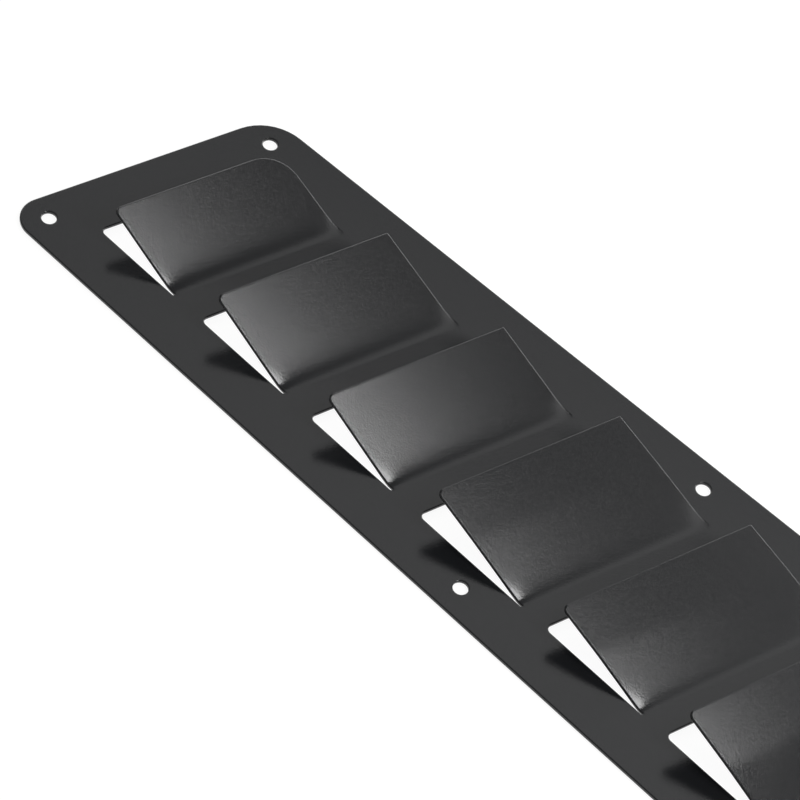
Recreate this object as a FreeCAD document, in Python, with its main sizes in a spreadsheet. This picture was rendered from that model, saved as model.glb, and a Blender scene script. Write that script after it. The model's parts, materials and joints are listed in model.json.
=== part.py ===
import FreeCAD, Part
import math
import os
import Sketcher

# Bonnet vent: one louvred sheet, laser cut flat and then folded. Millimetres.
# The panel lies on its underside, with the louvres rising from the top face.
#
# It is drawn in the fold frame: folds and louvre mouths run along Y, at a
# distance along X called their station, and station 0 is the small end of the
# panel. The long near edge passes through the origin and climbs at the rake
# angle. At the end the finished panel is turned so that this edge lies along X.

NODE = "vent_panel"
LOUVRES = 7

# Sizes that can be set one by one
DRIVING_SIZES = [
    ("sheet_thickness", 1.5, "aluminium sheet with its powder coat"),
    ("small_end_width", 101.4, "near edge to far edge at the origin corner"),
    ("taper_angle", 2.75, "far edge against the near edge"),
    ("rake_angle", 15, "ends and folds, away from square to the near edge"),
    ("border", 20, "plain sheet between the edges and the louvres"),
    ("large_end_border", 23.7, "plain sheet past the last fold"),
    ("flap_length_1", 35.1, "mouth to fold, louvre 1, measured flat"),
    ("flap_length_2", 38.5, "mouth to fold, louvre 2"),
    ("flap_length_3", 37.3, "mouth to fold, louvre 3"),
    ("flap_length_4", 45.4, "mouth to fold, louvre 4"),
    ("flap_length_5", 41.7, "mouth to fold, louvre 5"),
    ("flap_length_6", 46.8, "mouth to fold, louvre 6"),
    ("flap_length_7", 43.8, "mouth to fold, louvre 7"),
    ("flap_angle_1", 32, "how far the flap of louvre 1 is folded up"),
    ("flap_angle_2", 31.5, "the longer flaps lie lower"),
    ("flap_angle_3", 31.5, ""),
    ("flap_angle_4", 25, ""),
    ("flap_angle_5", 24, ""),
    ("flap_angle_6", 26, ""),
    ("flap_angle_7", 26, ""),
    ("land_width_1", 11.8, "flat sheet from fold 1 to the next mouth"),
    ("land_width_2", 10.9, "from fold 2"),
    ("land_width_3", 11.1, "from fold 3"),
    ("land_width_4", 9, "from fold 4"),
    ("land_width_5", 8.7, "from fold 5"),
    ("land_width_6", 7.9, "from fold 6"),
    ("bend_radius", 10, "fold radius on the top face"),
    ("slit_width", 0.8, "laser slit round a flap"),
    ("relief_length", 1, "slit past the start of the fold"),
    ("small_corner_radius", 9, "sharp corners of the panel"),
    ("large_corner_radius", 18, "blunt corners of the panel"),
    ("flap_corner_radius", 2, "near free corner of a flap and of its mouth"),
    ("first_flap_corner_radius", 15, "far free corner of louvre 1"),
    ("hole_diameter", 5.2, "fixing holes"),
    ("hole_inset", 10, "hole rows from the long edges"),
    ("end_hole_inset", 9, "end holes from the end edges, at the sharp corners"),
    ("hole_pair_rake", 16, "line through a pair of holes, away from square"),
]

document = FreeCAD.newDocument("bonnet_vent")
sizes = document.addObject("Spreadsheet::Sheet", "sizes")


def add_cells(rows, first_row):
    """Write named cells down the sheet, each with its note beside it."""
    for row, (name, content, note) in enumerate(rows, first_row):
        sizes.set(f"A{row}", name)
        sizes.set(f"B{row}", str(content))
        sizes.setAlias(f"B{row}", name)
        sizes.set(f"C{row}", note)


# Sizes that the sheet works out from the driving ones
DERIVED_SIZES = [
    ("far_edge_offset", "=small_end_width * cos(taper_angle)", "origin to the far edge"),
    ("far_angle", "=rake_angle + taper_angle", "far edge in the fold frame"),
    ("middle_radius", "=bend_radius + sheet_thickness / 2", "fold radius half way through the sheet"),
    ("mouth_1", "=border", "station of the first mouth"),
]
for number in range(1, LOUVRES + 1):
    fold = (f"fold_{number}", f"=mouth_{number} + flap_length_{number}", "station where the fold starts")
    bend = (f"bend_length_{number}", f"=middle_radius * flap_angle_{number} * pi / 180",
            "flat length that the fold takes up")
    DERIVED_SIZES += [fold, bend]
    if number < LOUVRES:
        mouth = (f"mouth_{number + 1}", f"=fold_{number} + land_width_{number}", "station of the next mouth")
        DERIVED_SIZES.append(mouth)
DERIVED_SIZES += [
    ("panel_span", f"=fold_{LOUVRES} + large_end_border", "station of the large end"),
    ("strip_length", "=far_edge_offset / cos(far_angle) + panel_span * tan(far_angle)",
     "longer than any fold"),
    ("pair_angle", "=90 + rake_angle - hole_pair_rake", "line through a pair of holes"),
    ("far_row_offset", "=far_edge_offset - hole_inset", "origin to the far row of holes"),
    ("near_1_x", "=end_hole_inset", "near hole, small end"),
    ("near_1_y", "=(hole_inset + near_1_x * sin(rake_angle)) / cos(rake_angle)", ""),
    ("far_3_x", "=panel_span - end_hole_inset", "far hole, large end"),
    ("far_3_y", "=(far_row_offset + far_3_x * sin(far_angle)) / cos(far_angle)", ""),
    ("pair_1", "=(far_row_offset + near_1_x * sin(far_angle) - near_1_y * cos(far_angle))"
               " / sin(pair_angle - far_angle)", "hole spacing, small end"),
    ("pair_3", "=(far_3_y * cos(rake_angle) - far_3_x * sin(rake_angle) - hole_inset)"
               " / sin(pair_angle - rake_angle)", "hole spacing, large end"),
    ("far_1_x", "=near_1_x + pair_1 * cos(pair_angle)", "far hole, small end"),
    ("far_1_y", "=near_1_y + pair_1 * sin(pair_angle)", ""),
    ("near_3_x", "=far_3_x - pair_3 * cos(pair_angle)", "near hole, large end"),
    ("near_3_y", "=far_3_y - pair_3 * sin(pair_angle)", ""),
]
for row in ("near", "far"):
    for axis in ("x", "y"):
        halfway = (f"{row}_2_{axis}", f"=({row}_1_{axis} + {row}_3_{axis}) / 2", f"middle hole, {row} row")
        DERIVED_SIZES.append(halfway)
for axis in ("x", "y"):
    centre = (f"centre_{axis}", f"=(near_2_{axis} + far_2_{axis}) / 2", "half way between the middle holes")
    DERIVED_SIZES.append(centre)

add_cells(DRIVING_SIZES, 1)
add_cells(DERIVED_SIZES, 1 + len(DRIVING_SIZES))
document.recompute()


def size(name):
    """Value of a named cell."""
    return float(sizes.get(name))


def tied(formula):
    """The formula as an expression for another object: each size name becomes its cell."""
    names = [name for name, content, note in DRIVING_SIZES + DERIVED_SIZES]
    words = [f"{sizes.Name}.{word}" if word in names else word for word in formula.split()]
    return " ".join(words)


def value_of(formula):
    """Value of a sum of sizes, such as 'border + slit_width'."""
    total, sign = 0.0, 1
    for word in formula.split():
        if word in "+-":
            sign = 1 if word == "+" else -1
        else:
            total += sign * size(word)
    return total


class Edge:
    """Straight edge of the flat sheet: its angle with X, and its distance from the origin.

    Both are written as names of sizes. An edge with no angle runs along Y, and
    its distance from the origin is its station.
    """

    def __init__(self, angle, offset):
        self.angle, self.offset = angle, offset
        self.radians = math.radians(size(angle)) if angle else -math.pi / 2
        self.distance = value_of(offset)
        self.ahead = FreeCAD.Vector(math.cos(self.radians), math.sin(self.radians), 0)

    def crossing(self, other):
        """Point where this edge crosses another."""
        a, b = self.radians, other.radians
        turn = math.sin(b - a)
        x = (self.distance * math.cos(b) - other.distance * math.cos(a)) / turn
        y = (self.distance * math.sin(b) - other.distance * math.sin(a)) / turn
        return FreeCAD.Vector(x, y, 0)


def bind(sketch, constraint, formula):
    """Add a dimension to a sketch and tie it to the sheet."""
    index = sketch.addConstraint(constraint)
    sketch.setExpression(f"Constraints[{index}]", tied(formula))


def hold(sketch, line, edge):
    """Hold a sketch line at its edge's angle and distance from the origin."""
    if edge.angle:
        bind(sketch, Sketcher.Constraint("Angle", line, edge.radians), f"{edge.angle} * 1 deg")
    else:
        sketch.addConstraint(Sketcher.Constraint("Vertical", line))
    if edge.offset:
        bind(sketch, Sketcher.Constraint("Distance", -1, 1, line, edge.distance), edge.offset)
    else:
        sketch.addConstraint(Sketcher.Constraint("PointOnObject", -1, 1, line))


def draw_loop(sketch, edges, rounding):
    """Closed outline of straight edges. rounding names the radius of the corner after each edge."""
    count = len(edges)
    corners = [edges[i].crossing(edges[(i + 1) % count]) for i in range(count)]
    half_angles = []
    trims = []
    for i in range(count):
        back = corners[i - 1] - corners[i]
        forth = corners[(i + 1) % count] - corners[i]
        half_angles.append(back.getAngle(forth) / 2)
        trims.append(size(rounding[i]) / math.tan(half_angles[i]) if rounding[i] else 0.0)
    # Each line is drawn in its edge's own direction, so that its angle is the edge's angle
    lines, entries, exits = [], [], []
    for i, edge in enumerate(edges):
        along = (corners[i] - corners[i - 1]).normalize()
        start, end = corners[i - 1] + along * trims[i - 1], corners[i] - along * trims[i]
        forward = along.dot(edge.ahead) > 0
        segment = Part.LineSegment(start, end) if forward else Part.LineSegment(end, start)
        lines.append(sketch.addGeometry(segment, False))
        entries.append(1 if forward else 2)
        exits.append(2 if forward else 1)
    for i in range(count):
        j = (i + 1) % count
        if not rounding[i]:
            joint = Sketcher.Constraint("Coincident", lines[i], exits[i], lines[j], entries[j])
            sketch.addConstraint(joint)
            continue
        radius = size(rounding[i])
        back = (corners[i - 1] - corners[i]).normalize()
        forth = (corners[j] - corners[i]).normalize()
        inward = (back + forth).normalize()
        centre = corners[i] + inward * (radius / math.sin(half_angles[i]))
        first = corners[i] + back * trims[i] - centre
        last = corners[i] + forth * trims[i] - centre
        anticlockwise = first.cross(last).z > 0
        low, high = (first, last) if anticlockwise else (last, first)
        circle = Part.Circle(centre, FreeCAD.Vector(0, 0, 1), radius)
        low_angle, high_angle = math.atan2(low.y, low.x), math.atan2(high.y, high.x)
        arc = sketch.addGeometry(Part.ArcOfCircle(circle, low_angle, high_angle), False)
        entry, leave = (1, 2) if anticlockwise else (2, 1)
        sketch.addConstraint(Sketcher.Constraint("Tangent", lines[i], exits[i], arc, entry))
        sketch.addConstraint(Sketcher.Constraint("Tangent", lines[j], entries[j], arc, leave))
        bind(sketch, Sketcher.Constraint("Radius", arc, radius), rounding[i])
    for line, edge in zip(lines, edges):
        hold(sketch, line, edge)


# Edges of the flat sheet, and the sides that all louvres share
NEAR_EDGE = Edge("rake_angle", "")
FAR_EDGE = Edge("far_angle", "far_edge_offset")
SMALL_END = Edge(None, "")
LARGE_END = Edge(None, "panel_span")
NEAR_SIDE = Edge("rake_angle", "border")
FAR_SIDE = Edge("far_angle", "far_edge_offset - border")

plate = document.addObject("PartDesign::Body", "plate")


def plate_sketch(name):
    """New sketch on the underside plane of the plate."""
    sketch = plate.newObject("Sketcher::SketchObject", name)
    planes = plate.Origin.OriginFeatures
    underside = next(plane for plane in planes if plane.Role == "XY_Plane")
    sketch.AttachmentSupport = [(underside, "")]
    sketch.MapMode = "FlatFace"
    return sketch


def cut_through(name, sketch):
    """Cut a sketch through the plate and make sure that metal goes."""
    before = plate.Shape.Volume
    pocket = plate.newObject("PartDesign::Pocket", name)
    pocket.Profile = sketch
    pocket.Type = "ThroughAll"
    pocket.Reversed = True
    document.recompute()
    if plate.Shape.Volume >= before:
        raise RuntimeError(f"{name} cuts nothing")


# Flat plate. Each sharp corner of the raked panel has the small radius.
outline = plate_sketch("outline")
corner_rounding = ["large_corner_radius", "small_corner_radius"] * 2
draw_loop(outline, [NEAR_EDGE, LARGE_END, FAR_EDGE, SMALL_END], corner_rounding)
sheet_blank = plate.newObject("PartDesign::Pad", "sheet_blank")
sheet_blank.Profile = outline
sheet_blank.setExpression("Length", tied("sheet_thickness"))
document.recompute()

# Louvre openings, each from its mouth to the ends of the relief slits
for number in range(1, LOUVRES + 1):
    mouth = Edge(None, f"mouth_{number}")
    slit_ends = Edge(None, f"fold_{number} + relief_length")
    far_corner = "first_flap_corner_radius" if number == 1 else None
    opening = plate_sketch(f"opening_outline_{number}")
    opening_rounding = [None, None, far_corner, "flap_corner_radius"]
    draw_loop(opening, [NEAR_SIDE, slit_ends, FAR_SIDE, mouth], opening_rounding)
    cut_through(f"opening_{number}", opening)

# Fixing holes: a row beside each long edge, in raked pairs at the ends and the middle
hole_plan = plate_sketch("hole_plan")
for row in ("near", "far"):
    for place in (1, 2, 3):
        x_name, y_name = f"{row}_{place}_x", f"{row}_{place}_y"
        centre = FreeCAD.Vector(size(x_name), size(y_name), 0)
        circle = Part.Circle(centre, FreeCAD.Vector(0, 0, 1), size("hole_diameter") / 2)
        hole = hole_plan.addGeometry(circle, False)
        bind(hole_plan, Sketcher.Constraint("Diameter", hole, size("hole_diameter")), "hole_diameter")
        bind(hole_plan, Sketcher.Constraint("DistanceX", -1, 1, hole, 3, centre.x), x_name)
        bind(hole_plan, Sketcher.Constraint("DistanceY", -1, 1, hole, 3, centre.y), y_name)
cut_through("fixing_holes", hole_plan)


def extrude(name, profile, ahead, behind):
    """Solid made by extruding a sketch both ways along its normal."""
    solid = document.addObject("Part::Extrusion", name)
    solid.Base = profile
    solid.DirMode = "Normal"
    solid.Solid = True
    solid.setExpression("LengthFwd", tied(ahead))
    solid.setExpression("LengthRev", tied(behind))
    return solid


def draw_fold(sketch, number):
    """Section of the sheet across a fold: a tongue of flat sheet, the bend, and the flap.

    X of the sketch is the station and Y is the height. The flap is drawn longer
    than it is, because its own outline trims it.
    """
    thickness, radius = size("sheet_thickness"), size("bend_radius")
    fold, tongue = size(f"fold_{number}"), size("relief_length")
    run, angle = size(f"flap_length_{number}"), math.radians(size(f"flap_angle_{number}"))
    centre = FreeCAD.Vector(fold, thickness + radius, 0)
    normal = FreeCAD.Vector(0, 0, 1)
    outward = FreeCAD.Vector(-math.sin(angle), -math.cos(angle), 0)
    along = FreeCAD.Vector(-math.cos(angle), math.sin(angle), 0)
    down = -math.pi / 2
    faces = []
    for face_radius in (radius, radius + thickness):
        height = centre.y - face_radius
        flat_start, flat_end = FreeCAD.Vector(fold + tongue, height, 0), FreeCAD.Vector(fold, height, 0)
        flat = Part.LineSegment(flat_start, flat_end)
        bend = Part.ArcOfCircle(Part.Circle(centre, normal, face_radius), down - angle, down)
        bend_end = centre + outward * face_radius
        flap = Part.LineSegment(bend_end, bend_end + along * run)
        flat_id, bend_id, flap_id = sketch.addGeometry([flat, bend, flap], False)
        sketch.addConstraint(Sketcher.Constraint("Horizontal", flat_id))
        sketch.addConstraint(Sketcher.Constraint("Tangent", flat_id, 2, bend_id, 2))
        sketch.addConstraint(Sketcher.Constraint("Tangent", bend_id, 1, flap_id, 1))
        faces.append((flat_id, bend_id, flap_id))
    (top_flat, top_bend, top_flap), (low_flat, low_bend, low_flap) = faces
    tongue_low = FreeCAD.Vector(fold + tongue, 0, 0)
    tongue_top = FreeCAD.Vector(fold + tongue, thickness, 0)
    top_end = centre + outward * radius + along * run
    low_end = centre + outward * (radius + thickness) + along * run
    ends = [Part.LineSegment(tongue_low, tongue_top), Part.LineSegment(top_end, low_end)]
    back, front = sketch.addGeometry(ends, False)
    back_joints = ((back, 1, low_flat, 1), (back, 2, top_flat, 1))
    front_joints = ((front, 1, top_flap, 2), (front, 2, low_flap, 2))
    for joint in back_joints + front_joints:
        sketch.addConstraint(Sketcher.Constraint("Coincident", *joint))
    sketch.addConstraint(Sketcher.Constraint("Vertical", back))
    sketch.addConstraint(Sketcher.Constraint("Coincident", top_bend, 3, low_bend, 3))
    sketch.addConstraint(Sketcher.Constraint("Parallel", top_flap, low_flap))
    sketch.addConstraint(Sketcher.Constraint("Perpendicular", top_flap, front))
    sketch.addConstraint(Sketcher.Constraint("PointOnObject", low_flat, 2, -1))
    bind(sketch, Sketcher.Constraint("DistanceX", -1, 1, low_flat, 2, fold), f"fold_{number}")
    bind(sketch, Sketcher.Constraint("DistanceX", low_flat, 2, low_flat, 1, tongue), "relief_length")
    bind(sketch, Sketcher.Constraint("DistanceY", back, 1, back, 2, thickness), "sheet_thickness")
    bind(sketch, Sketcher.Constraint("Radius", top_bend, radius), "bend_radius")
    bind(sketch, Sketcher.Constraint("Distance", top_flap, run), f"flap_length_{number}")
    incline = Sketcher.Constraint("Angle", top_flap, math.pi - angle)
    bind(sketch, incline, f"( 180 - flap_angle_{number} ) * 1 deg")


# Flaps. Each is the folded section, as long as the fold, trimmed square to its
# own surface by its outline. The outline lies in the flap's plane, and its
# sketch there keeps the coordinates that it had in the flat sheet.
flaps = []
near_cut = Edge("rake_angle", "border + slit_width")
far_cut = Edge("far_angle", "far_edge_offset - border - slit_width")
for number in range(1, LOUVRES + 1):
    section = document.addObject("Sketcher::SketchObject", f"fold_section_{number}")
    upright = FreeCAD.Rotation(FreeCAD.Vector(1, 0, 0), 90)
    section.Placement = FreeCAD.Placement(FreeCAD.Vector(), upright)
    draw_fold(section, number)
    strip = extrude(f"folded_strip_{number}", section, "0", "strip_length")

    free_edge = Edge(None, f"mouth_{number} + slit_width")
    behind_fold = Edge(None, f"fold_{number} + relief_length + bend_radius")
    far_corner = "first_flap_corner_radius" if number == 1 else None
    trim = document.addObject("Sketcher::SketchObject", f"flap_outline_{number}")
    flap_rounding = [None, None, far_corner, "flap_corner_radius"]
    draw_loop(trim, [near_cut, behind_fold, far_cut, free_edge], flap_rounding)
    angle = f"flap_angle_{number}"
    lean = FreeCAD.Rotation(FreeCAD.Vector(0, 1, 0), size(angle))
    trim.Placement = FreeCAD.Placement(FreeCAD.Vector(), lean)
    flat_station = f"( fold_{number} - bend_length_{number} )"
    x_shift = f"fold_{number} - middle_radius * sin( {angle} ) - {flat_station} * cos( {angle} )"
    bend_rise = f"sheet_thickness / 2 + middle_radius * ( 1 - cos( {angle} ) )"
    rise = f"{bend_rise} + {flat_station} * sin( {angle} )"
    trim.setExpression("Placement.Rotation.Angle", tied(f"{angle} * 1 deg"))
    trim.setExpression("Placement.Base.x", tied(f"( {x_shift} ) * 1 mm"))
    trim.setExpression("Placement.Base.z", tied(f"( {rise} ) * 1 mm"))
    reach = "middle_radius + relief_length"
    window = extrude(f"flap_window_{number}", trim, reach, reach)

    flap = document.addObject("Part::MultiCommon", f"flap_{number}")
    flap.Shapes = [strip, window]
    flaps.append(flap)

# The whole sheet, turned so that its near edge lies along X. Its origin is on
# the underside, half way between the middle pair of holes.
panel = document.addObject("Part::MultiFuse", NODE)
panel.Label = NODE
panel.Shapes = [plate] + flaps
panel.Refine = True
panel.setExpression("Placement.Rotation.Angle", tied("- rake_angle * 1 deg"))
centre_along = "centre_x * cos( rake_angle ) + centre_y * sin( rake_angle )"
centre_across = "centre_y * cos( rake_angle ) - centre_x * sin( rake_angle )"
panel.setExpression("Placement.Base.x", tied(f"- ( {centre_along} ) * 1 mm"))
panel.setExpression("Placement.Base.y", tied(f"- ( {centre_across} ) * 1 mm"))
document.recompute()

for item in document.Objects:
    faults = {"Invalid", "Error"} & set(item.State)
    if faults:
        raise RuntimeError(f"{item.Name}: {faults}")
if panel.Shape.isNull() or not panel.Shape.isValid() or len(panel.Shape.Solids) != 1:
    raise RuntimeError("the panel is not one valid solid")

os.makedirs("parts", exist_ok=True)
panel.Shape.exportStep(f"parts/{panel.Label}.step")
box = panel.Shape.BoundBox
print(f"{panel.Label}: {box.XLength:.1f} x {box.YLength:.1f} x {box.ZLength:.1f} mm")
print(f"metal {panel.Shape.Volume / 1000:.1f} cm3, {len(panel.Shape.Faces)} faces")
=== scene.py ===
# %% [markdown]
# # A louvred bonnet vent
#
# The real object is one aluminium sheet, 1.5 mm thick. A laser cuts its outline, six
# fixing holes and seven U-shaped slits. A press then folds up the tongue inside each
# slit, which becomes a louvre that lets hot air out of the engine bay. Last of all
# the sheet gets a satin black powder coat.
#
# This lesson makes the sheet in Blender in the same order: a flat pattern first,
# then the folds as one function of the flat pattern, then the coat.

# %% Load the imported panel, which gives the frame to work in
import json
import math

import bpy
import numpy as np
from mathutils import Matrix, Vector
from mathutils.geometry import delaunay_2d_cdt


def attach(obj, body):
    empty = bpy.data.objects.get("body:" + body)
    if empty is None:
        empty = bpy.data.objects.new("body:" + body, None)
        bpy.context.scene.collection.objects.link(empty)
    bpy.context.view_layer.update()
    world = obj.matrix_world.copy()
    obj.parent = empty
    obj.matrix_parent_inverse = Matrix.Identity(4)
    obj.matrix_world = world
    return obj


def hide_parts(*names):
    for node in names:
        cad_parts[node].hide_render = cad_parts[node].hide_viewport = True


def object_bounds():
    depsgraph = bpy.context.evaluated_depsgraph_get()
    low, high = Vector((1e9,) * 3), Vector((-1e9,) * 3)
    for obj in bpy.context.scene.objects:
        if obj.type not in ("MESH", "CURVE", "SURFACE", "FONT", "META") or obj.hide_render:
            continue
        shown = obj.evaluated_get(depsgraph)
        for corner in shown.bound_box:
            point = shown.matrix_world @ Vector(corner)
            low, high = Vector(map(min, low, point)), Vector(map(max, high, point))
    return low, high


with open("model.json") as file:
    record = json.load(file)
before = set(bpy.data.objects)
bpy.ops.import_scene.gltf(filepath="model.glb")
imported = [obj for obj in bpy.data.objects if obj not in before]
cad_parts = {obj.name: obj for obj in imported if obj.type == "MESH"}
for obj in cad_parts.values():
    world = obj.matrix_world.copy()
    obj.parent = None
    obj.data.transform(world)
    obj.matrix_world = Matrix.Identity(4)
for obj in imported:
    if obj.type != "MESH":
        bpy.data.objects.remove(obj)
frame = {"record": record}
cad_low, cad_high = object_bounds()
PANEL = "vent_panel"
print("packed panel, lowest and highest corner in metres:", tuple(cad_low), tuple(cad_high))

# %% [markdown]
# ## Sizes of the flat pattern
#
# Sheet metal is drawn flat, because that is how it is cut. All sizes here are in
# millimetres, and they become metres only when the mesh is written. The pattern has
# its own axes: X is the distance along the panel at which a fold or a louvre mouth
# lies, called its station, and every fold runs along Y. The long edges then climb at
# the rake angle, and the finished sheet is turned back by it at the end.
#
# The louvres differ a little from one another, as they do on the real panel, so their
# lengths, angles and slit widths are lists with one entry for each louvre. The first
# entry belongs to the small end.

# %% Sheet, edges and corners
MM = 0.001
SHEET = 1.5
RAKE = math.radians(15)
TAPER = math.radians(2.75)
SMALL_END_WIDTH = 101.4
BORDER = 20
LARGE_END_BORDER = 23.7
NEAR_SLITS = [0.9, 0.9, 0.9, 0.6, 0.6, 0.4, 0.6]
FAR_SLIT, MOUTH_SLIT = 0.15, 0.15
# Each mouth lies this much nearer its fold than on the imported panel
MOUTH_TRIM = 0.3
# How far the ends of the slits lie past the fold. Here they stop short of it.
NEAR_RELIEF, FAR_RELIEF = -0.6, -1
SMALL_CORNER = 9
LARGE_CORNER = 18
FLAP_CORNER = 2
POINTED_CORNER = 0.5
FIRST_FLAP_CORNER = 15
EDGE_ROUNDING = 0.45
HOLE_RADIUS = 2.6
print("sheet", SHEET, "mm, cut edges rounded by the coat to", EDGE_ROUNDING, "mm")

# %% Stations of the louvres, and how far each flap is folded up
FLAP_LENGTHS = [35.1, 38.5, 37.3, 45.4, 41.7, 46.8, 43.8]
LANDS = [11.8, 10.9, 11.1, 9, 8.7, 7.9, LARGE_END_BORDER]
FLAP_ANGLES = [32.4, 31.7, 31.9, 25.2, 23.8, 25.9, 25.9]
BEND_RADIUS = 10
MIDDLE_RADIUS = BEND_RADIUS + SHEET / 2
mouths, folds = [], []
station = BORDER
for length, land in zip(FLAP_LENGTHS, LANDS):
    mouths.append(station)
    folds.append(station + length)
    station = folds[-1] + land
panel_span = station
print("mouths at", mouths)
print("folds at", folds)

# %% [markdown]
# ## Outlines
#
# Every cut is a loop of straight lines with rounded corners. A line is kept as its
# angle and its distance from the origin, as on a drawing, so that two parallel cuts
# differ in one number. A function rounds the corners with true arcs and divides the
# straights evenly, because the folds will bend those points later.

# %% Lines and their crossings
NEAR_ANGLE, FAR_ANGLE, FOLD_ANGLE = RAKE, RAKE + TAPER, -math.pi / 2
far_edge = SMALL_END_WIDTH * math.cos(TAPER)


def crossing(first, second):
    """Point where two lines cross, each given as (angle, distance from the origin)."""
    (a, p), (b, q) = first, second
    turn = math.sin(b - a)
    x = (p * math.cos(b) - q * math.cos(a)) / turn
    y = (p * math.sin(b) - q * math.sin(a)) / turn
    return np.array([x, y])


print("origin corner", crossing((NEAR_ANGLE, 0), (FOLD_ANGLE, 0)))
print("far corner", crossing((FAR_ANGLE, far_edge), (FOLD_ANGLE, panel_span)))

# %% Loops with rounded corners
ARC_STEP = math.radians(9)


def unit(vector):
    """The same direction with length 1."""
    return vector / np.linalg.norm(vector)


def rounded_loop(lines, radii, spacing):
    """Points of a closed loop, and the line that each is on. A radius rounds its line's end."""
    count = len(lines)
    corners = [crossing(lines[i], lines[(i + 1) % count]) for i in range(count)]
    arcs = []
    for i in range(count):
        back = unit(corners[i - 1] - corners[i])
        forth = unit(corners[(i + 1) % count] - corners[i])
        half = math.acos(float(np.clip(back @ forth, -1, 1))) / 2
        centre = corners[i] + unit(back + forth) * radii[i] / math.sin(half)
        first = corners[i] + back * radii[i] / math.tan(half) - centre
        sweep = math.pi - 2 * half
        if back[0] * forth[1] - back[1] * forth[0] > 0:
            sweep = -sweep
        steps = max(2, math.ceil(abs(sweep) / ARC_STEP))
        turns = np.linspace(0, sweep, steps + 1)
        rotated = np.stack([np.cos(turns) * first[0] - np.sin(turns) * first[1],
                            np.sin(turns) * first[0] + np.cos(turns) * first[1]], 1)
        arcs.append(centre + rotated)
    parts = []
    for i in range(count):
        start, end = arcs[i - 1][-1], arcs[i][0]
        pieces = max(1, math.ceil(np.linalg.norm(end - start) / spacing))
        along = np.linspace(0, 1, pieces + 1)[1:-1, None]
        parts.append(np.concatenate([start + (end - start) * along, arcs[i]]))
    return np.concatenate(parts), np.repeat(range(count), [len(part) for part in parts])


test_lines = [(NEAR_ANGLE, 0), (FOLD_ANGLE, 50), (FAR_ANGLE, 40), (FOLD_ANGLE, 0)]
test, _ = rounded_loop(test_lines, [5] * 4, 10)
print("a small test loop has", len(test), "points")

# %% [markdown]
# ## The cuts
#
# The panel has one outline, and the sheet lies on the left of it when the loop is
# followed. Holes and slits are followed the other way round, so the sheet is on their
# left too. One rule then serves all of them when the edges are rounded later.
#
# A slit is a thin U. Its outer side is the opening in the panel and its inner side is
# the flap. On the near side it is wide enough to see through from above. On the far
# side and at the mouth the cut is as thin as the laser beam. The flap's own corners
# are nearly sharp, except the large far corner of the first one. The rounding of the
# edges thins out towards the far end of each slit, where the cut is all but closed.
#
# Each point gets an owner, the plate or the number of a flap, and only the points of a
# flap are folded later. Without owners the plate beside a fold would be bent as well,
# which shows as dark triangles at the ends of the slits.

# %% Outline and slits
PANEL_SPACING, SLIT_SPACING = 12, 0.8
PLATE = -1
SLIT_END_SHARE = 0.45
THINNING_LENGTH, THINNEST_SHARE = 8, 0.2
# A slit's loop has eight lines: these follow its far side, and these are on the flap
FAR_LINES, FLAP_LINES = [2, 3, 4], [3, 4, 5, 6]

outline, _ = rounded_loop(
    [(NEAR_ANGLE, 0), (FOLD_ANGLE, panel_span), (FAR_ANGLE, far_edge), (FOLD_ANGLE, 0)],
    [LARGE_CORNER, SMALL_CORNER, LARGE_CORNER, SMALL_CORNER], PANEL_SPACING)


def slit(number):
    """U-shaped slit round one flap, with the owner and the edge rounding of each point."""
    mouth = mouths[number] + MOUTH_TRIM
    far_line, near_slit = far_edge - BORDER, NEAR_SLITS[number]
    opening = [(NEAR_ANGLE, BORDER), (FOLD_ANGLE, mouth), (FAR_ANGLE, far_line)]
    far_stop = [(FOLD_ANGLE, folds[number] + FAR_RELIEF)]
    flap = [(FAR_ANGLE, far_line - FAR_SLIT), (FOLD_ANGLE, mouth + MOUTH_SLIT),
            (NEAR_ANGLE, BORDER + near_slit)]
    near_stop = [(FOLD_ANGLE, folds[number] + NEAR_RELIEF)]
    far_corner = FIRST_FLAP_CORNER if number == 0 else POINTED_CORNER
    far_end, near_end = FAR_SLIT * SLIT_END_SHARE, near_slit * SLIT_END_SHARE
    radii = [FLAP_CORNER, far_corner, far_end, far_end,
             far_corner, FLAP_CORNER, near_end, near_end]
    loop, on_line = rounded_loop(opening + far_stop + flap + near_stop, radii, SLIT_SPACING)
    thinned = np.clip((folds[number] - loop[:, 0]) / THINNING_LENGTH, THINNEST_SHARE, 1)
    rounding = EDGE_ROUNDING * np.where(np.isin(on_line, FAR_LINES), thinned, 1)
    return loop, np.where(np.isin(on_line, FLAP_LINES), number, PLATE), rounding


slits, slit_owners, slit_roundings = zip(*[slit(number) for number in range(len(FLAP_LENGTHS))])
print("outline", len(outline), "points, slits", [len(loop) for loop in slits])

# %% [markdown]
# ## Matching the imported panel
#
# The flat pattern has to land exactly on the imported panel. Two facts of the panel do
# that: its lowest corner, and the places of its bolt pairs. Both are read from the
# frame, so the holes drawn here are the holes that the panel's mounts name.

# %% Where the pattern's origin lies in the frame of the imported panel
mounts = {mount["name"]: mount for mount in frame["record"]["mounts"]}
TURN_BACK = np.array([[math.cos(RAKE), math.sin(RAKE)], [-math.sin(RAKE), math.cos(RAKE)]])
near_corner = np.array([0, cad_low.y / MM])


def turned(points):
    """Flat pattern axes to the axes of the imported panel, about the same origin."""
    return points @ TURN_BACK.T


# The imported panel's lowest X lies on the rounded corner at the far end of the small end
near_corner[0] = cad_low.x / MM - turned(outline)[:, 0].min()
print("near corner of the small end, in mm:", near_corner)

# %% Fixing holes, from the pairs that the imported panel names
HOLE_SEGMENTS = 40
PAIR_LEAN = math.radians(16)


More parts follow.
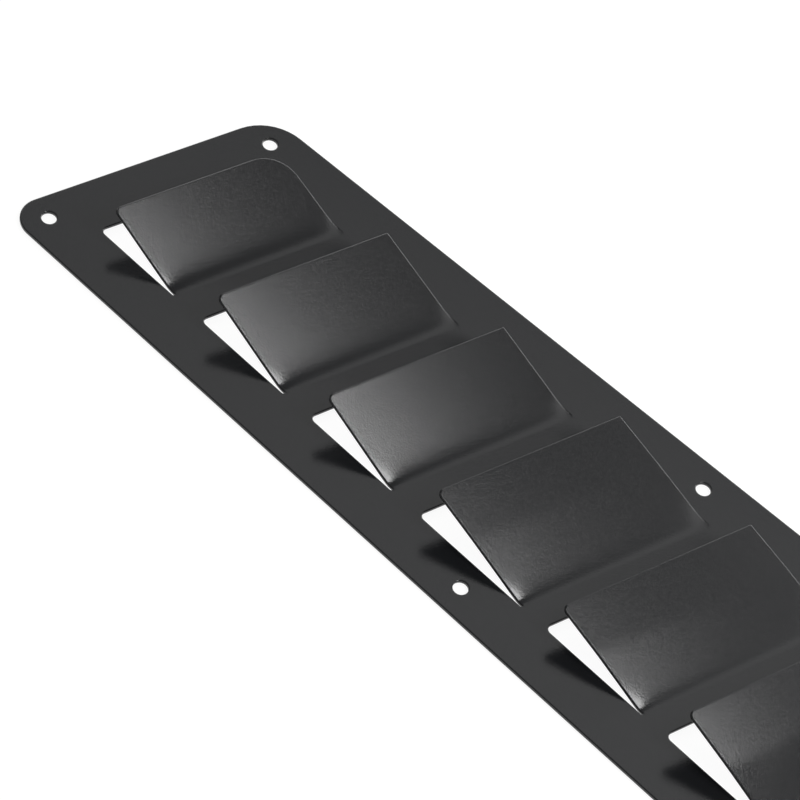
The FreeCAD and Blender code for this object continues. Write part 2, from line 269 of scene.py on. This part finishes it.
def hole_loops():
    """One loop per hole, followed so that the sheet is on the left."""
    turns = -np.linspace(0, 2 * math.pi, HOLE_SEGMENTS, endpoint=False)
    ring = HOLE_RADIUS * np.stack([np.cos(turns), np.sin(turns)], 1)
    across = np.array([math.sin(PAIR_LEAN), math.cos(PAIR_LEAN)])
    loops = []
    for name in ("small_end_bolts", "middle_bolts", "large_end_bolts"):
        middle = np.array(mounts[name]["pos_m"][:2]) / MM - near_corner
        reach = mounts[name]["dims"]["pcd_mm"] / 2
        for side in (-1, 1):
            loops.append(ring + (middle + side * reach * across) @ TURN_BACK)
    return loops


holes = hole_loops()
print(len(holes), "holes, the first at", holes[0].mean(0).round(2))

# %% [markdown]
# ## Folding
#
# A folded sheet is not modelled fold by fold. Each point of the flat pattern has a
# distance from its fold, and one function of that distance says how steep the sheet
# is there: flat, then steeper along the bend, then at the flap's angle. Adding up the
# small steps gives the curve. The middle of the sheet keeps its length in a bend, so
# the curve is the middle of the sheet, and thickness is added along its normal.
#
# The bend ends slowly, since the punch presses the flap only near its free edge.
#
# Small faults set a pressed louvre apart from a computed one, and a satin coat shows
# every one of them in its reflections:
#
# - Close to the ends of the slits the press leaves the root of the flap lower, so the
#   fold curls towards the mouth there and catches the light at its near end.
# - The longer flaps spring back a little beyond their middle, which breaks the
#   reflection in two.
# - The punch draws each flap out by up to 0.9 mm, and it swings the first three
#   sideways by half a millimetre at their free edge.
# - It lifts the land behind each fold too, the narrow bridge up to the next mouth.

# %% Slope of each flap, in degrees
SPRING_BACK = [0, 0, 0, 2, 3, 3, 3]
SPRING_PLACE, SPRING_LENGTH = 0.58, 7
SLOW_FROM, SLOW_WIDTH = 0.68, 0.45
CURVE_STEP, CURVE_SPARE = 0.25, 4


def smooth(share):
    """0 to 1 without a sudden start or stop."""
    share = np.clip(share, 0, 1)
    return share * share * (3 - 2 * share)


def bend_share(share):
    """Share of the angle that is reached: evenly at first, and slowly at the end."""
    rest = (1 - SLOW_FROM) * np.exp(-(share - SLOW_FROM) / SLOW_WIDTH)
    return np.where(share < SLOW_FROM, share, 1 - rest)


def flap_curve(number):
    """Distance from the fold, and the curve's X, Z and slope at each distance."""
    run = np.arange(0, FLAP_LENGTHS[number] + CURVE_SPARE, CURVE_STEP)
    spring = math.radians(SPRING_BACK[number])
    angle = math.radians(FLAP_ANGLES[number]) + spring / 2
    slope = angle * bend_share(run / (MIDDLE_RADIUS * angle))
    middle = FLAP_LENGTHS[number] * SPRING_PLACE
    slope = slope - spring * smooth((run - middle) / SPRING_LENGTH + 0.5)
    mean = (slope[1:] + slope[:-1]) / 2
    x = np.concatenate([[0], -np.cumsum(np.cos(mean)) * CURVE_STEP])
    z = np.concatenate([[0], np.cumsum(np.sin(mean)) * CURVE_STEP])
    return run, x, z, slope


curves = [flap_curve(number) for number in range(len(FLAP_LENGTHS))]
print("free edges rise to", [round(float(curve[2][-1]) + SHEET, 1) for curve in curves], "mm")

# %% Faults that the press leaves, in millimetres
DRAWN_OUT = [0.2, 0.8, 0.4, 0.6, 0.9, 0.9, 0.9]
SWING = [0.55, 0.55, 0.55, 0, 0, 0, 0]
NEAR_SAGS = [0.28, 0.35, 0.38, 0.34, 0.36, 0.36, 0.36]
NEAR_SAG_WIDTH, NEAR_SAG_PEAK = 2.2, 3.2
FAR_SAG, FAR_SAG_WIDTH, FAR_SAG_PEAK = 0.3, 2.5, 4.5
LAND_RISE = [0.55, 0.55, 0.4, 0.3, 0.15, 0.15, 0]
LAND_NEAR_SIDE, LAND_FAR_SIDE = 24, 12
PAST_LAND = 1


def hump(share):
    """0 at 0, 1 at 1, and fading out beyond, so that fold and free edge stay in place."""
    return share ** 2 * np.exp(2 - 2 * share)


def sag(number, run, from_near, from_far):
    """How far the root of a flap lies below the plain curve, near the ends of its slits."""
    near = NEAR_SAGS[number] * hump(run / NEAR_SAG_PEAK) * np.exp(-from_near / NEAR_SAG_WIDTH)
    far = FAR_SAG * hump(run / FAR_SAG_PEAK) * np.exp(-from_far / FAR_SAG_WIDTH)
    return near + far


def land_lift(number, past_fold, from_near, from_far):
    """How far the land behind a fold is lifted. It slopes up to the next mouth."""
    sides = smooth(from_near / LAND_NEAR_SIDE) * smooth(from_far / LAND_FAR_SIDE)
    return LAND_RISE[number] * np.clip(past_fold / LANDS[number], 0, 1) * sides


reach = np.array([0.0, NEAR_SAG_PEAK, 20.0])
print("louvre 1 sags at its near edge by", sag(0, reach, 0.0, 80.0).round(2), "mm at", reach, "mm")

# %% The whole fold as one function of the flat pattern
def distance_from(line, points):
    """Distance of points to the left of a line."""
    angle, distance = line
    return points[:, 1] * math.cos(angle) - points[:, 0] * math.sin(angle) - distance


def fold_up(points, owners):
    """Flat pattern points (X, Y, height above the middle of the sheet), folded."""
    folded = points + [0, 0, SHEET / 2]
    from_near = distance_from((NEAR_ANGLE, BORDER), points)
    from_far = -distance_from((FAR_ANGLE, far_edge - BORDER - FAR_SLIT), points)
    for number, (run, x, z, slope) in enumerate(curves):
        along = folds[number] - points[:, 0]
        on_flap = (owners == number) & (along > 0)
        s = along[on_flap] * (1 + DRAWN_OUT[number] / FLAP_LENGTHS[number])
        tilt = np.interp(s, run, slope)
        from_slit = from_near[on_flap] - NEAR_SLITS[number]
        off = points[on_flap, 2] - sag(number, s, from_slit, from_far[on_flap])
        folded[on_flap, 0] = folds[number] + np.interp(s, run, x) + off * np.sin(tilt)
        folded[on_flap, 2] = SHEET / 2 + np.interp(s, run, z) + off * np.cos(tilt)
        folded[on_flap, 1] -= SWING[number] * along[on_flap] / FLAP_LENGTHS[number]
        behind = (owners == PLATE) & (along < 0) & (along > -LANDS[number] - PAST_LAND)
        folded[behind, 2] += land_lift(number, -along[behind], from_near[behind], from_far[behind])
    return folded


tip = fold_up(np.array([[mouths[0] + 1, 60, 0.0]]), np.array([0]))[0]
print("a point 1 mm inside the free edge of louvre 1 ends at", tip.round(2))

# %% [markdown]
# ## The mesh
#
# The two faces of the sheet are filled with a constrained Delaunay triangulation: it
# takes the loops as edges that must stay, and extra points where the sheet will bend.
# Between the faces runs a rim, the same rounded profile swept round every loop.
#
# The rounding is small, about what a powder coat leaves on a laser-cut edge, but it
# is what catches the light as a hairline along each flap. A Bevel modifier could make
# it too. Here the profile is known, so its normals can be exact, and the flat faces
# stay free of the shading that a bevel pulls across large triangles.

# %% Rim profile: inset and drop as shares of the rounding, side of the sheet, and normal
ROUNDING_STEPS = 6


def rim_profile():
    """One row for each point, from the top face round the edge to the underside."""
    turns = np.linspace(0, math.pi / 2, ROUNDING_STEPS + 1)
    sines, cosines = np.sin(turns), np.cos(turns)
    top = np.stack([1 - sines, 1 - cosines, np.ones(len(turns)), sines, cosines], 1)
    bottom = top[::-1] * [1, 1, -1, 1, -1]
    return np.concatenate([top, bottom])


profile = rim_profile()
print("rim profile with", len(profile), "points, walls", SHEET - 2 * EDGE_ROUNDING, "mm high")


# %% Inward normals of a loop, and the loop inset by a distance
def inward(loop):
    """Unit normals to the left at each point, and how much longer a mitred inset is."""
    edges = np.roll(loop, -1, 0) - loop
    edges /= np.linalg.norm(edges, axis=1)[:, None]
    lefts = np.stack([-edges[:, 1], edges[:, 0]], 1)
    summed = lefts + np.roll(lefts, 1, 0)
    normals = summed / np.linalg.norm(summed, axis=1)[:, None]
    return normals, 1 / (normals * lefts).sum(1)


def same_for_all(value, some_loops):
    """The value at every point of some loops, one array for each loop."""
    return [np.full(len(loop), value) for loop in some_loops]


loops = [outline, *slits, *holes]
owners = [*same_for_all(PLATE, [outline]), *slit_owners, *same_for_all(PLATE, holes)]
roundings = [*same_for_all(EDGE_ROUNDING, [outline]), *slit_roundings,
             *same_for_all(EDGE_ROUNDING, holes)]
loop_sides = [inward(loop) for loop in loops]
insets = []
for loop, rounding, (normals, stretch) in zip(loops, roundings, loop_sides):
    insets.append(loop + normals * (stretch * rounding)[:, None])
print(len(loops), "loops with", sum(len(loop) for loop in loops), "points")

# %% Extra points where the sheet bends
# Rows are counted from the fold and columns from the slits, all in millimetres
BEND_ROWS = np.arange(0.0, 9.0, 0.5)
FLAP_ROWS = np.arange(9.5, 60.0, 2.0)
END_COLUMNS = np.array([0.7, 1.3, 2.0, 2.8, 3.8, 5.0, 6.5, 8.5, 11.0])
COLUMN_SPACING = 3.0
FREE_EDGE_GAP, MIDDLE_GAP = 2, 1
LAND_ROW_SPACING, LAND_COLUMNS = 0.5, 31
LAND_START_GAP, LAND_END_GAP = 0.25, 0.6
CLEAR_OF_CUT = 0.35


def land_points(number):
    """Rows of points across the land behind one fold."""
    near_line, far_line = (NEAR_ANGLE, BORDER), (FAR_ANGLE, far_edge - BORDER)
    rows = []
    for past_fold in np.arange(LAND_START_GAP, LANDS[number] - LAND_END_GAP, LAND_ROW_SPACING):
        row = (FOLD_ANGLE, folds[number] + past_fold)
        start, end = crossing(near_line, row), crossing(far_line, row)
        heights = np.linspace(start[1], end[1], LAND_COLUMNS)
        rows.append(np.stack([np.full(LAND_COLUMNS, start[0]), heights], 1))
    return np.concatenate(rows)


def bend_points(number):
    """Rows of points across one flap, closer together where it curves."""
    near_line = (NEAR_ANGLE, BORDER + NEAR_SLITS[number])
    far_line = (FAR_ANGLE, far_edge - BORDER - FAR_SLIT)
    rows = []
    for run in np.concatenate([BEND_ROWS, FLAP_ROWS]):
        if run > FLAP_LENGTHS[number] - FREE_EDGE_GAP:
            break
        row = (FOLD_ANGLE, folds[number] - run)
        start, end = crossing(near_line, row), crossing(far_line, row)
        width = end[1] - start[1]
        last = END_COLUMNS[-1]
        inner = np.arange(last + COLUMN_SPACING, width - last - MIDDLE_GAP, COLUMN_SPACING)
        heights = start[1] + np.concatenate([END_COLUMNS, inner, width - END_COLUMNS[::-1]])
        rows.append(np.stack([np.full(len(heights), start[0]), heights], 1))
    return np.concatenate(rows)


def inside(points, loop):
    """Which points lie inside a loop, by counting the crossings to their right."""
    found = np.zeros(len(points), bool)
    for (x1, y1), (x2, y2) in zip(loop, np.roll(loop, -1, 0)):
        spans = (y1 > points[:, 1]) != (y2 > points[:, 1])
        if spans.any():
            meets = x1 + (points[spans, 1] - y1) * (x2 - x1) / (y2 - y1)
            found[spans] ^= points[spans, 0] < meets
    return found


def clear_of(cut, points):
    """Which points keep their distance from a cut's rounded edge."""
    gaps = np.array([np.hypot(*(cut - point).T).min() for point in points])
    return gaps > CLEAR_OF_CUT + EDGE_ROUNDING


extra, extra_owners = [], []
cuts = np.concatenate([*slits, *holes])
for number, (loop, owner) in enumerate(zip(slits, slit_owners)):
    grid, land = bend_points(number), land_points(number)
    grid = grid[clear_of(loop, grid) & inside(grid, loop[owner == number])]
    land = land[clear_of(cuts, land) & inside(land, outline)]
    extra += [grid, land]
    extra_owners += [np.full(len(grid), number), np.full(len(land), PLATE)]
print(sum(len(grid) for grid in extra), "extra points on flaps and lands")

# %% Fill one face of the sheet
WHOLE_HULL, WELD_DISTANCE = 0, 1e-5
flat = np.concatenate(insets + extra)
flat_owners = np.concatenate(owners + extra_owners)
ring_edges, start = [], 0
for loop in insets:
    ids = start + np.arange(len(loop))
    ring_edges += list(zip(ids.tolist(), np.roll(ids, -1).tolist()))
    start += len(loop)
made = delaunay_2d_cdt([Vector(p) for p in flat], ring_edges, [], WHOLE_HULL, WELD_DISTANCE)
triangles = np.array(made[2])
centres = flat[triangles].mean(1)
kept = inside(centres, insets[0])
for loop in insets[1:]:
    kept &= ~inside(centres, loop)
triangles = triangles[kept]
same = len(made[0]) == len(flat) and all(ids == [i] for i, ids in enumerate(made[3]))
print(len(triangles), "triangles on each face, points unchanged:", same)

# %% Both faces and the rims as one closed mesh
points, normals_flat, point_owners, faces = [], [], [], []


def add(positions, directions, owner):
    """Add points with their normals and owners, and return their numbers."""
    first = sum(len(block) for block in points)
    points.append(positions)
    normals_flat.append(directions)
    point_owners.append(owner)
    return first + np.arange(len(positions))


def face_of_sheet(side):
    """All points of one face: side 1 is the top and -1 the underside."""
    height = np.full((len(flat), 1), side * SHEET / 2)
    return add(np.hstack([flat, height]), np.tile([0.0, 0.0, side], (len(flat), 1)), flat_owners)


top_ids, low_ids = face_of_sheet(1), face_of_sheet(-1)
faces += top_ids[triangles].tolist() + low_ids[triangles[:, ::-1]].tolist()
start = 0
for loop, owner, rounding, (normals, stretch) in zip(loops, owners, roundings, loop_sides):
    count = len(loop)
    rings = [top_ids[start:start + count]]
    for inset, drop, side, outwards, upwards in profile[1:-1]:
        place = loop + normals * (stretch * rounding * inset)[:, None]
        positions = np.column_stack([place, side * (SHEET / 2 - rounding * drop)])
        directions = np.column_stack([-normals * outwards, np.full(count, upwards)])
        rings.append(add(positions, directions, owner))
    rings.append(low_ids[start:start + count])
    for upper, lower in zip(rings, rings[1:]):
        nexts = np.roll(np.arange(count), -1)
        faces += np.stack([upper, lower, lower[nexts], upper[nexts]], 1).tolist()
    start += count
points, normals_flat = np.concatenate(points), np.concatenate(normals_flat)
point_owners = np.concatenate(point_owners)
print(len(points), "points and", len(faces), "faces")

# %% Normals after folding
TINY = 1e-3
NEARLY_UPRIGHT = 0.9


def folded_normals(positions, directions):
    """Turn each normal with the sheet, from two short steps along the surface."""
    slanted = np.abs(directions[:, 2:]) < NEARLY_UPRIGHT
    helper = np.where(slanted, [[0.0, 0.0, 1.0]], [[1.0, 0.0, 0.0]])
    first = np.cross(directions, helper)
    first /= np.linalg.norm(first, axis=1)[:, None]
    second = np.cross(directions, first)
    base = fold_up(positions, point_owners)
    step_1 = fold_up(positions + first * TINY, point_owners) - base
    step_2 = fold_up(positions + second * TINY, point_owners) - base
    turned_normals = np.cross(step_1, step_2)
    return turned_normals / np.linalg.norm(turned_normals, axis=1)[:, None]


folded = fold_up(points, point_owners)
normals_folded = folded_normals(points, normals_flat)
steepest = math.degrees(math.acos(normals_folded[top_ids, 2].min()))
print("the top face is at most", round(steepest, 1), "degrees steep")

# %% Turn the sheet back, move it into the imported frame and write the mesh
place = np.hstack([turned(folded[:, :2]) + near_corner, folded[:, 2:]]) * MM
directions = np.hstack([turned(normals_folded[:, :2]), normals_folded[:, 2:]])
mesh = bpy.data.meshes.new("louvred_sheet")
mesh.from_pydata(place.tolist(), [], faces)
mesh.shade_smooth()
mesh.normals_split_custom_set_from_vertices(directions.tolist())
sheet = bpy.data.objects.new("louvred_sheet", mesh)
bpy.context.scene.collection.objects.link(sheet)
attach(sheet, "root")
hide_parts(PANEL)
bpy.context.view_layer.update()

# %% [markdown]
# ## The powder coat
#
# Powder is sprayed on dry and melts into a skin of plastic, 60 to 80 micrometres
# thick. Satin black powder is a dielectric: its body is nearly black, and what the
# eye sees is a soft reflection of the room. Two noises make it look sprayed: an
# orange peel about 1 mm wide, where the grains flowed together, and a finer grain on
# top. Both only tilt the normal, and their sizes are real ones.

# %% Helpers for colours and nodes
def linear(hex_colour):
    """sRGB hex to the linear values that a shader takes."""
    channels = [int(hex_colour[i:i + 2], 16) / 255 for i in (1, 3, 5)]
    return [c / 12.92 if c <= 0.04045 else ((c + 0.055) / 1.055) ** 2.4 for c in channels] + [1]


def add_node(tree, kind, inputs=None, **settings):
    """Add a node. An input is a value, or a (node, output) pair that it is linked to."""
    node = tree.nodes.new(kind)
    for name, value in settings.items():
        setattr(node, name, value)
    for name, value in (inputs or {}).items():
        if isinstance(value, tuple) and isinstance(value[0], bpy.types.Node):
            tree.links.new(value[0].outputs[value[1]], node.inputs[name])
        else:
            node.inputs[name].default_value = value
    return node


print("satin black in linear values:", linear("#17181a"))

# %% The coat, as one material
# Sizes and heights are in millimetres
PEEL_SIZE, PEEL_STRENGTH, PEEL_HEIGHT = 0.9, 0.35, 0.02
GRAIN_SIZE, GRAIN_STRENGTH, GRAIN_HEIGHT = 0.55, 0.75, 0.03
COAT_BLACK = "#17181a"
COAT_INDEX = 1.5
SMOOTHEST, ROUGHEST = 0.16, 0.2
# A noise seldom leaves this range
NOISE_LOW, NOISE_HIGH = 0.3, 0.7


def satin_black_powder_coat():
    material = bpy.data.materials.new("satin_black_powder_coat")
    material.use_nodes = True
    tree = material.node_tree
    tree.nodes.clear()
    where = add_node(tree, "ShaderNodeTexCoord")
    peel = add_node(tree, "ShaderNodeTexNoise", {
        "Vector": (where, "Object"), "Scale": 1 / (PEEL_SIZE * MM),
        "Detail": 2.0, "Roughness": 0.55})
    grain = add_node(tree, "ShaderNodeTexNoise", {
        "Vector": (where, "Object"), "Scale": 1 / (GRAIN_SIZE * MM), "Detail": 1.0})
    peel_bump = add_node(tree, "ShaderNodeBump", {
        "Strength": PEEL_STRENGTH, "Distance": PEEL_HEIGHT * MM, "Height": (peel, "Fac")})
    bump = add_node(tree, "ShaderNodeBump", {
        "Strength": GRAIN_STRENGTH, "Distance": GRAIN_HEIGHT * MM, "Height": (grain, "Fac"),
        "Normal": (peel_bump, "Normal")})
    gloss = add_node(tree, "ShaderNodeMapRange", {
        "Value": (peel, "Fac"), "From Min": NOISE_LOW, "From Max": NOISE_HIGH,
        "To Min": SMOOTHEST, "To Max": ROUGHEST})
    shader = add_node(tree, "ShaderNodeBsdfPrincipled", {
        "Base Color": linear(COAT_BLACK), "Roughness": (gloss, "Result"),
        "IOR": COAT_INDEX, "Normal": (bump, "Normal")})
    add_node(tree, "ShaderNodeOutputMaterial", {"Surface": (shader, "BSDF")})
    return material


mesh.materials.append(satin_black_powder_coat())
print("coat:", mesh.materials[0].name)

# %% [markdown]
# ## The floor and the room
#
# The panel lies on a white floor in a dim, even room. The camera should see a clean
# white page round the panel, but a floor as bright as that would also light the panel
# from below. So the floor is part paint and part glow: camera and mirror rays get the
# glow, and all other rays meet plain paint, which keeps a trace of the panel's shadow.
# The room does the same with its own brightness.

# %% Floor
FLOOR_SIZE = 6.0
FLOOR_DROP = 0.0002
FLOOR_WHITE = "#f4f4f2"
FLOOR_GLOW_SHARE, FLOOR_GLOW = 0.85, 1.08


def studio_floor():
    bpy.ops.mesh.primitive_plane_add(size=FLOOR_SIZE, location=(0, 0, -FLOOR_DROP))
    floor = bpy.context.object
    floor.name = "studio_floor"
    material = bpy.data.materials.new("white_studio_floor")
    material.use_nodes = True
    tree = material.node_tree
    tree.nodes.clear()
    path = add_node(tree, "ShaderNodeLightPath")
    rays = {0: (path, "Is Camera Ray"), 1: (path, "Is Glossy Ray")}
    seen = add_node(tree, "ShaderNodeMath", rays, operation="MAXIMUM")
    factors = {0: (seen, 0), 1: FLOOR_GLOW_SHARE}
    share = add_node(tree, "ShaderNodeMath", factors, operation="MULTIPLY")
    paint = add_node(tree, "ShaderNodeBsdfDiffuse", {"Color": linear(FLOOR_WHITE)})
    glow = add_node(tree, "ShaderNodeEmission", {"Color": (1, 1, 1, 1), "Strength": FLOOR_GLOW})
    mixed = add_node(tree, "ShaderNodeMixShader", {0: (share, 0), 1: (paint, 0), 2: (glow, 0)})
    add_node(tree, "ShaderNodeOutputMaterial", {"Surface": (mixed, 0)})
    floor.data.materials.append(material)
    return floor


floor = studio_floor()
print(floor.name, "is", FLOOR_SIZE, "m wide")

# %% World: a dim room, white only where the camera looks past the floor
ROOM_LEVEL = 0.3


def studio_world():
    world = bpy.data.worlds.new("studio")
    bpy.context.scene.world = world
    world.use_nodes = True
    tree = world.node_tree
    tree.nodes.clear()
    path = add_node(tree, "ShaderNodeLightPath")
    level = add_node(tree, "ShaderNodeMapRange", {
        "Value": (path, "Is Camera Ray"), "To Min": ROOM_LEVEL, "To Max": 1.0})
    back = add_node(tree, "ShaderNodeBackground", {
        "Color": (1, 1, 1, 1), "Strength": (level, "Result")})
    add_node(tree, "ShaderNodeOutputWorld", {"Surface": (back, 0)})


studio_world()
print("room level", ROOM_LEVEL, "where white paper has 1")

# %% [markdown]
# ## Four soft boxes
#
# A black satin panel shows nothing but what it mirrors, so the lights are placed by
# asking what each surface sees. The raised flaps see the small key box high on the
# right, most of all at their near end. The flat sheet sees the wide box across the
# table, which gives it an even dark grey, a little lighter towards the large end. Two
# low boxes meet only the rounded edges, and draw the hairlines along them: the long
# rim box along the far edges, and the edge box along the free edges of the flaps.

# %% Soft boxes that face the panel
def soft_box(name, azimuth, elevation, distance, width, height, spin, brightness, falloff=0.0):
    """Rectangular area light. Angles are in degrees and lengths in metres.

    Brightness is that of its surface, where white paper has 1. Falloff is how much
    brighter one end of its width is than the middle, and how much dimmer the other.
    """
    light = bpy.data.lights.new(name, "AREA")
    light.shape = "RECTANGLE"
    light.size, light.size_y = width, height
    light.energy = brightness * math.pi * width * height
    light.use_nodes = True
    tree = light.node_tree
    tree.nodes.clear()
    where = add_node(tree, "ShaderNodeNewGeometry")
    across = add_node(tree, "ShaderNodeSeparateXYZ", {0: (where, "Parametric")})
    level = add_node(tree, "ShaderNodeMapRange", {
        "Value": (across, "X"), "To Min": 1 + falloff, "To Max": 1 - falloff})
    glow = add_node(tree, "ShaderNodeEmission", {"Strength": (level, "Result")})
    add_node(tree, "ShaderNodeOutputLight", {"Surface": (glow, 0)})
    lamp = bpy.data.objects.new(name, light)
    bpy.context.scene.collection.objects.link(lamp)
    a, e = math.radians(azimuth), math.radians(elevation)
    towards = Vector((math.cos(e) * math.cos(a), math.cos(e) * math.sin(a), math.sin(e)))
    sideways = Vector((0, 0, 1)).cross(towards).normalized()
    upwards = towards.cross(sideways)
    spun = Matrix.Rotation(math.radians(spin), 3, "Z")
    turn = Matrix((sideways, upwards, towards)).transposed() @ spun
    lamp.matrix_world = Matrix.Translation(towards * distance) @ turn.to_4x4()
    lamp.visible_camera = False
    return lamp


soft_box("key_soft_box", azimuth=11.8, elevation=59.6, distance=0.63,
         width=0.136, height=0.304, spin=0, brightness=13)
soft_box("wide_soft_box", azimuth=84.7, elevation=56.1, distance=2.84,
         width=3.66, height=0.72, spin=9.8, brightness=1.05, falloff=0.43)
soft_box("rim_soft_box", azimuth=100, elevation=15, distance=1.5,
         width=3.0, height=0.45, spin=0, brightness=6.5, falloff=0.85)
soft_box("edge_soft_box", azimuth=152, elevation=24, distance=1.5,
         width=0.7, height=0.5, spin=0, brightness=4)

# %% [markdown]
# ## The camera
#
# The angles were worked out from the round holes, which show as ellipses, and from
# the long edges, which meet at a far point. Lengths are in millimetres here. The
# focal length is kept in pixels, because that is how it was measured.

# %% Camera, matched to the photograph's viewing angle
CAMERA_AZIMUTH = math.radians(29.374)
CAMERA_ELEVATION = math.radians(52.326)
CAMERA_ROLL = math.radians(17.44)
CAMERA_DISTANCE = 1176.15
LOOKS_AT = Vector((-77.626, -6.494, 0))
FOCAL_PIXELS, FRAME_PIXELS = 3540, 800
SENSOR_WIDTH = 36


def add_camera():
    a, e, r = CAMERA_AZIMUTH, CAMERA_ELEVATION, CAMERA_ROLL
    back = Vector((math.sin(a) * math.cos(e), -math.cos(a) * math.cos(e), math.sin(e)))
    level = Vector((math.cos(a), math.sin(a), 0))
    upright = back.cross(level)
    right = math.cos(r) * level + math.sin(r) * upright
    up = math.cos(r) * upright - math.sin(r) * level
    camera = bpy.data.objects.new("camera", bpy.data.cameras.new("camera"))
    bpy.context.scene.collection.objects.link(camera)
    turn = Matrix((right, up, back)).transposed().to_4x4()
    camera.matrix_world = Matrix.Translation((LOOKS_AT + back * CAMERA_DISTANCE) * MM) @ turn
    camera.data.sensor_width = SENSOR_WIDTH
    camera.data.lens = FOCAL_PIXELS / FRAME_PIXELS * SENSOR_WIDTH
    bpy.context.scene.camera = camera
    return camera


camera = add_camera()
print("camera at", tuple(camera.location), "m, lens", round(camera.data.lens, 1), "mm")

# %% [markdown]
# ## Closing
#
# Colours are shown as they are, without a film look.

bpy.context.scene.view_settings.view_transform = "Standard"
